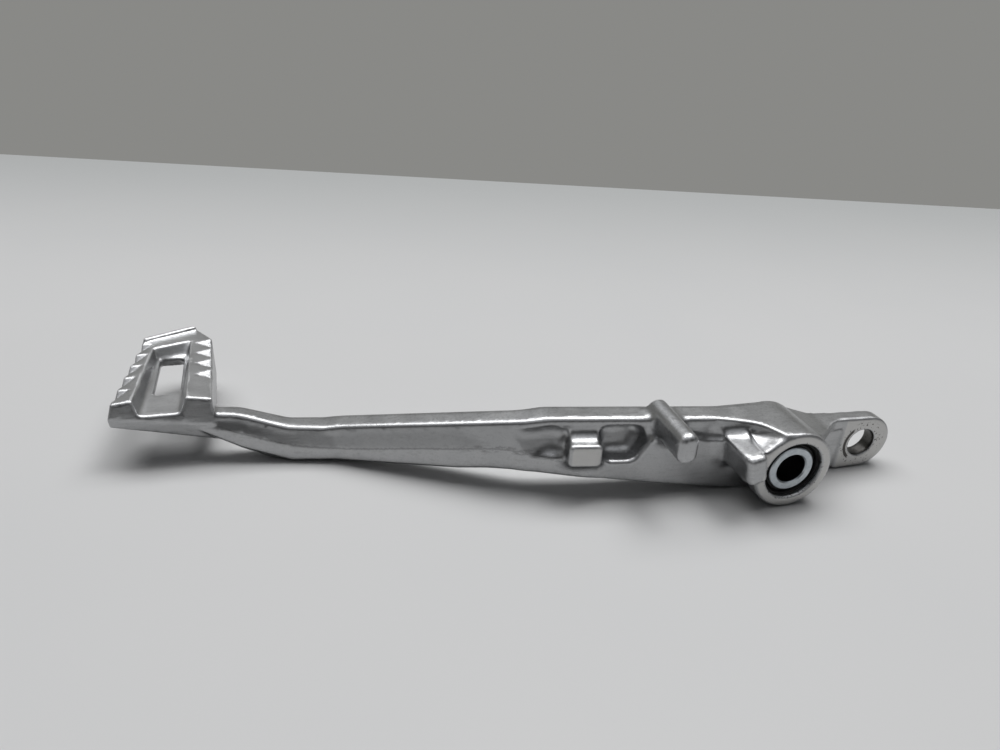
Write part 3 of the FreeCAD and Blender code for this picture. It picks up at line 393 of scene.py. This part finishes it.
def forged_lever():
    """The lever with its blends. Normals and bulge come from a finer mesh of the same surface."""
    cad = nodes["pedal_lever"].data
    grid = rounded(*mesh_arrays(cad), FILLET, EDGE)
    shape_inboard(grid, cut_off(cad, INBOARD_CUT, False))
    shape_pad(grid, cut_off(cad, PAD_CUT, True))
    fine, fine_quads = grid.convertToQuads(isovalue=EDGE)
    normals, bulge = surface_detail(fine, fine_quads)
    tree = kdtree.KDTree(len(fine))
    for index, spot in enumerate(fine):
        tree.insert(spot, index)
    tree.balance()
    points, triangles, quads = grid.convertToPolygons(isovalue=EDGE, adaptivity=FLATNESS)
    nearest = np.array([tree.find(spot)[1] for spot in points])
    mesh = smooth_mesh("forged_lever", points, triangles, quads)
    edge_bulge = mesh.attributes.new("bulge", "FLOAT", "POINT")
    edge_bulge.data.foreach_set("value", bulge[nearest].astype(np.float32))
    mesh.normals_split_custom_set_from_vertices(normals[nearest].astype(np.float32))
    piece = bpy.data.objects.new("forged_lever", mesh)
    bpy.context.scene.collection.objects.link(piece)
    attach(piece, "lever")
    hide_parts("pedal_lever")
    return piece


# Materials. Places are in millimetres, and a pair is where a mark starts and where it is full
BOSS_FACE = 11.6
LUG_MIDDLE = 54.4
LUG_HALF = 4.6
LUG_FRONT = (-4.6, -4.2)
EYE_START = (-25.2, -25.8)
EYE_X = -32.4
EYE_Z = -2.9
EYE_HOLE = 4.5
EYE_DIRT = 6.6
SEAT_DIRT = 8.7
SEAT_FRONT = (8.0, 9.0)
NICK_RADIUS = 5.7
NICK_HALF = 0.38
NICK_START = (-29.2, -28.4)
NICK_FRONT = (-4.6, -4.1)
TREAD_START = (144.0, 150.0)
SLEEVE_BORE = 4.2
SEAM_START = (57.0, 61.0)
SEAM_END = (150.0, 143.0)
SEAM_HALF = 0.12
SEAM_WANDER = 0.9
RUGGED_HALF = 0.7
RUGGED_END = (90.0, 76.0)
FLANK_ABOVE = (0.4, -0.8)
PARTING_LINE = ((55.0, 0.1), (58.7, 0.2), (64.6, 0.5), (69.8, 1.2), (73.6, 1.1), (79.6, 0.5), (89.5, -1.1),
                (99.6, -3.1), (110.0, -5.2), (118.7, -6.3), (126.0, -5.9), (131.0, -5.05), (139.0, -2.9),
                (147.0, -0.4))
STREAK_STRETCH = (0.10, 0.8, 0.8)
TURNED_STRETCH = (0.4, 6.0, 0.4)
PATCHES = (0.3, 0.7)

# Tones of the alloy and of its marks, some of which are painted highlight and painted shade
ALLOY_DARK = (0.42, 0.424, 0.43, 1.0)
ALLOY_LIGHT = (0.465, 0.468, 0.472, 1.0)
GRAIN_TONE = (0.29, 0.295, 0.30, 1.0)
PEBBLE_TONE = (0.27, 0.273, 0.278, 1.0)
STREAK_TONE = (0.28, 0.28, 0.28, 1.0)
TREAD_POLISH_AND_LIGHT_TONE = (0.62, 0.622, 0.63, 1.0)
FLANK_SHADE_TONE = (0.29, 0.293, 0.297, 1.0)
SEAM_TONE = (0.16, 0.16, 0.16, 1.0)
# Lighter tone of convex edges: wear, and a painted highlight along them
EDGE_WEAR_AND_HIGHLIGHT_TONE = (0.74, 0.745, 0.75, 1.0)
MACHINED_TONE = (0.62, 0.612, 0.595, 1.0)
EYE_HOLE_SHADE_AND_DIRT_TONE = (0.07, 0.068, 0.065, 1.0)
DIRT_TONE = (0.035, 0.03, 0.026, 1.0)

# Tones of the sleeve, the seals and the table, with painted shade for the sleeve's bore and the table's
# far part
ZINC_DARK = (0.44, 0.48, 0.51, 1.0)
ZINC_LIGHT = (0.54, 0.575, 0.60, 1.0)
SLEEVE_BORE_SHADE_TONE = (0.012, 0.013, 0.015, 1.0)
RUBBER_TONE = (0.004, 0.004, 0.0045, 1.0)
RUBBER_DUST = (0.012, 0.011, 0.01, 1.0)
TABLE_COOL = (0.60, 0.605, 0.61, 1.0)
TABLE_WARM = (0.63, 0.63, 0.63, 1.0)
TABLE_FAR_SHADE = (0.36, 0.375, 0.375, 1.0)
TABLE_SHADE_DEPTHS = (80.0, 400.0)


def machined_faces(web, spot, facing):
    """Flat faces of the boss, the lug and the eye, which are cut after forging."""
    x, y, z = spot
    flat = web.step(web.math("ABSOLUTE", facing[1]), 0.93, 0.98)
    boss = web.within(web.length(x, z), BOSS_FACE, soft=0.2)
    lug = web.within(web.math("SUBTRACT", x, LUG_MIDDLE), LUG_HALF, soft=0.3, both=True)
    lug = web.product(lug, web.step(y, *LUG_FRONT))
    return web.product(flat, web.largest(boss, lug, web.step(x, *EYE_START)))


def parting_seam(web, spot, facing, pebble, streak):
    """The parting line along the arm, with a rugged stretch near the boss, and the flank above it, which
    is darkened as painted shade.
    """
    x, _, z = spot
    inward = web.step(facing[1], 0.2, 0.5)
    along = web.product(web.step(x, *SEAM_START), web.step(x, *SEAM_END), inward)
    drop = web.math("SUBTRACT", web.curve(x, PARTING_LINE), z)
    drop = web.math("ADD", drop, web.math("MULTIPLY_ADD", pebble, SEAM_WANDER, -SEAM_WANDER / 2.0))
    line = web.product(web.within(drop, SEAM_HALF, soft=0.3, both=True), along)
    rugged = web.product(web.within(drop, RUGGED_HALF, soft=0.6, both=True), web.step(x, *RUGGED_END))
    rugged = web.product(rugged, along, web.step(streak, 0.42, 0.6))
    above = web.product(web.step(drop, *FLANK_ABOVE), along)
    return web.largest(line, rugged), above


def dirt_marks(web, where, spot, reach):
    """Specks round the eye and the seal's seat, and a nick in the face of the eye."""
    x, y, z = spot
    speck = web.step(web.noise(where, scale=1.5, detail=2.0, rough=0.6), 0.60, 0.66)
    round_eye = web.within(reach, EYE_DIRT, soft=1.2)
    round_seat = web.product(web.within(web.length(x, z), SEAT_DIRT, soft=0.5), web.step(y, *SEAT_FRONT))
    dirt = web.product(speck, 0.85, web.largest(round_eye, round_seat))
    nick = web.within(web.math("SUBTRACT", reach, NICK_RADIUS), NICK_HALF, soft=0.15, both=True)
    nick = web.product(nick, web.step(x, *NICK_START), web.step(y, *NICK_FRONT))
    return web.largest(dirt, web.product(nick, 0.9))


def cast_alloy():
    """Blasted forging, with machined faces told apart by where they lie."""
    material, web, shader = new_material("cast_alloy")
    where = web.place()
    spot = web.split(where)
    facing = web.split(web.add("ShaderNodeNewGeometry").outputs["Normal"])
    grain = web.noise(where, scale=3.6, detail=4.0, rough=0.6)
    pebble = web.noise(where, scale=1.5, detail=3.0, rough=0.6)
    streak = web.noise(web.place(STREAK_STRETCH), scale=1.3, detail=3.0, rough=0.6)
    cloud = web.step(web.noise(where, scale=0.16, detail=3.0, rough=0.5), *PATCHES)
    bulge = web.add("ShaderNodeAttribute", attribute_name="bulge").outputs["Fac"]
    edge = web.step(bulge, 0.005, 0.014)
    machined = machined_faces(web, spot, facing)
    seam, above = parting_seam(web, spot, facing, pebble, streak)
    reach = web.length(web.math("SUBTRACT", spot[0], EYE_X), web.math("SUBTRACT", spot[2], EYE_Z))
    hole_wall = web.step(web.math("ABSOLUTE", facing[1]), 0.9, 0.6)
    upward = web.math("MULTIPLY_ADD", web.step(facing[2], 0.3, 0.8), 0.4, 0.2)
    # up-facing faces of the pad lighter: polish from the foot, and painted light on the tops
    tread_polish_and_light = web.product(web.step(spot[0], *TREAD_START), web.step(facing[2], 0.4, 0.9))
    layers = (
        (web.product(web.step(grain, 0.5, 0.75), 0.4), GRAIN_TONE),
        (web.product(web.step(pebble, 0.48, 0.7), upward), PEBBLE_TONE),
        (web.product(web.step(streak, 0.5, 0.72), 0.35), STREAK_TONE),
        (web.product(tread_polish_and_light, 0.45), TREAD_POLISH_AND_LIGHT_TONE),
        # the flank above the parting line darker: painted shade for the dark room it reflects
        (web.product(above, 0.35), FLANK_SHADE_TONE),
        (web.product(seam, 0.5), SEAM_TONE),
        # convex edges lighter: wear, and a painted highlight
        (web.product(edge, 0.22), EDGE_WEAR_AND_HIGHLIGHT_TONE),
        (web.product(machined, 0.7), MACHINED_TONE),
        # the wall of the eye's hole darker: painted shade in the hole, with oxide and dirt
        (web.product(web.within(reach, EYE_HOLE, soft=0.1), hole_wall), EYE_HOLE_SHADE_AND_DIRT_TONE),
        (dirt_marks(web, where, spot, reach), DIRT_TONE),
    )
    tone = web.mix(cloud, ALLOY_DARK, ALLOY_LIGHT)
    for share, layer_tone in layers:
        tone = web.mix(share, tone, layer_tone)
    web.feed(shader.inputs["Base Color"], tone)
    rough = web.blend(cloud, 0.29, 0.34)
    rough = web.blend(web.product(web.step(grain, 0.45, 0.75), 0.4), rough, 0.42)
    rough = web.blend(edge, rough, 0.46)
    rough = web.blend(machined, rough, 0.44)
    web.feed(shader.inputs["Roughness"], rough)
    shader.inputs["Metallic"].default_value = 1.0
    rugged = web.math("ADD", pebble, web.math("MULTIPLY_ADD", streak, 1.5, grain))
    web.feed(shader.inputs["Normal"], web.bump(rugged, depth_mm=0.03, strength=0.5))
    return material


def zinc_plate():
    """Turned and plated sleeve, with painted shade darkening its bore."""
    material, web, shader = new_material("zinc_plate")
    where = web.place()
    x, _, z = web.split(where)
    turned = web.noise(web.place(TURNED_STRETCH), scale=2.4, detail=3.0, rough=0.6)
    cloud = web.noise(where, scale=0.7, detail=3.0, rough=0.5)
    bore = web.within(web.length(x, z), SLEEVE_BORE, soft=0.15)
    tone = web.mix(web.step(cloud, *PATCHES), ZINC_DARK, ZINC_LIGHT)
    # the bore darkened near black: painted shade
    web.feed(shader.inputs["Base Color"], web.mix(bore, tone, SLEEVE_BORE_SHADE_TONE))
    rough = web.blend(web.step(turned, *PATCHES), 0.28, 0.38)
    web.feed(shader.inputs["Roughness"], web.blend(bore, rough, 0.5))
    shader.inputs["Metallic"].default_value = 1.0
    web.feed(shader.inputs["Normal"], web.bump(turned, depth_mm=0.02, strength=0.4))
    return material


def seal_rubber():
    """Black rubber with a little dust."""
    material, web, shader = new_material("seal_rubber")
    where = web.place()
    grain = web.noise(where, scale=4.0, detail=4.0, rough=0.6)
    dust = web.noise(where, scale=0.8, detail=4.0, rough=0.6)
    web.feed(shader.inputs["Base Color"], web.mix(web.step(dust, 0.5, 0.8), RUBBER_TONE, RUBBER_DUST))
    web.feed(shader.inputs["Roughness"], web.blend(web.step(dust, *PATCHES), 0.38, 0.6))
    web.feed(shader.inputs["Normal"], web.bump(grain, depth_mm=0.04, strength=0.5))
    shader.inputs["Specular IOR Level"].default_value = 0.25
    return material


def floor_material():
    """Smooth pale laminate, with painted shade that darkens it towards its far edge."""
    material, web, shader = new_material("pale_table")
    where = web.place()
    x, y, _ = web.split(where)
    cloud = web.noise(where, scale=0.012, detail=2.0, rough=0.5)
    fleck = web.noise(where, scale=1.4, detail=2.0, rough=0.5)
    depth = web.math("MULTIPLY", y, -math.cos(LOOK_ROUND))
    depth = web.math("MULTIPLY_ADD", x, -math.sin(LOOK_ROUND), depth)
    # painted shade on the far part of the table
    far = web.product(web.step(depth, *TABLE_SHADE_DEPTHS), 0.75)
    tone = web.mix(cloud, TABLE_COOL, TABLE_WARM)
    web.feed(shader.inputs["Base Color"], web.mix(far, tone, TABLE_FAR_SHADE))
    web.feed(shader.inputs["Roughness"], web.blend(fleck, 0.45, 0.55))
    shader.inputs["Specular IOR Level"].default_value = 0.25
    return material


# Table, lamps, room and camera
def build_floor():
    """Table top that ends behind the part, square to the camera."""
    away = Vector((-math.sin(LOOK_ROUND), -math.cos(LOOK_ROUND), 0.0))
    side = Vector((-away.y, away.x, 0.0)) * TABLE_SPREAD
    below = Vector((CAMERA_PLACE[0], CAMERA_PLACE[1], FLOOR_Z))
    far = below + away * TABLE_DEPTH
    near = below - away * TABLE_SPREAD
    mesh = bpy.data.meshes.new("floor")
    mesh.from_pydata([far + side, far - side, near - side, near + side], [], [(0, 1, 2, 3)])
    floor = bpy.data.objects.new("floor", mesh)
    bpy.context.scene.collection.objects.link(floor)
    give(floor, floor_material())


def area_lamp(name, place, aim, width, height, watts):
    data = bpy.data.lights.new(name, "AREA")
    data.shape = "RECTANGLE"
    data.size = width
    data.size_y = height
    data.energy = watts
    lamp = bpy.data.objects.new(name, data)
    bpy.context.scene.collection.objects.link(lamp)
    lamp.location = place
    lamp.rotation_euler = (Vector(aim) - Vector(place)).to_track_quat("-Z", "Y").to_euler()


def room_light():
    """Dim room in front, paler wall behind the part and bright ceiling, seen in full by shiny faces."""
    world = bpy.data.worlds.new("room")
    bpy.context.scene.world = world
    world.use_nodes = True
    web = Web(world.node_tree)
    out = web.add("ShaderNodeOutputWorld")
    sky = web.add("ShaderNodeBackground")
    _, y, z = web.split(web.add("ShaderNodeTexCoord").outputs["Generated"])
    ramp = web.add("ShaderNodeValToRGB")
    web.feed(ramp.inputs[0], web.math("MULTIPLY_ADD", y, -0.5, 0.5))
    front, back_wall = ramp.color_ramp.elements
    front.position = FRONT_END
    front.color = FRONT_TONE
    back_wall.position = BACK_WALL_START
    back_wall.color = BACK_WALL_TONE
    overhead = web.step(z, *CEILING_START)
    web.feed(sky.inputs["Color"], web.mix(overhead, ramp.outputs["Color"], CEILING_TONE))
    path = web.add("ShaderNodeLightPath").outputs
    seen = web.largest(path["Is Camera Ray"], path["Is Glossy Ray"], path["Is Transmission Ray"])
    web.feed(sky.inputs["Strength"], web.blend(seen, ROOM_STRENGTH, SEEN_STRENGTH))
    web.feed(out.inputs["Surface"], sky.outputs["Background"])


def build_camera():
    """Camera at its place, turned by the look round, the look down and the roll."""
    ahead = math.cos(LOOK_DOWN)
    back = Vector((math.sin(LOOK_ROUND) * ahead, math.cos(LOOK_ROUND) * ahead, math.sin(LOOK_DOWN)))
    level = Vector((-math.cos(LOOK_ROUND), math.sin(LOOK_ROUND), 0.0))
    rise = back.cross(level)
    right = level * math.cos(CAMERA_ROLL) + rise * math.sin(CAMERA_ROLL)
    up = rise * math.cos(CAMERA_ROLL) - level * math.sin(CAMERA_ROLL)
    data = bpy.data.cameras.new("camera")
    data.sensor_width = CAMERA_SENSOR
    data.lens = CAMERA_LENS
    data.clip_start = CAMERA_CLIP
    camera = bpy.data.objects.new("camera", data)
    bpy.context.scene.collection.objects.link(camera)
    turn = Matrix((right, up, back)).transposed().to_4x4()
    camera.matrix_world = Matrix.Translation(CAMERA_PLACE) @ turn
    bpy.context.scene.camera = camera


# The scene
ALLOY = cast_alloy()
give(nodes["pedal_lever"], ALLOY)
give(forged_lever(), ALLOY)
give(nodes["pivot_sleeve"], zinc_plate())
RUBBER = seal_rubber()
give(nodes["inboard_seal"], RUBBER)
give(nodes["outboard_seal"], RUBBER)
build_floor()
area_lamp("key_panel", place=(0.0, -0.53, 1.60), aim=(0.07, -0.03, 0.0),
          width=2.3, height=0.9, watts=27.0)
area_lamp("ceiling_panel", place=(-0.50, -0.10, 1.60), aim=(0.06, -0.02, 0.0),
          width=0.6, height=0.5, watts=5.0)
room_light()
build_camera()
bpy.context.scene.view_settings.view_transform = "Standard"
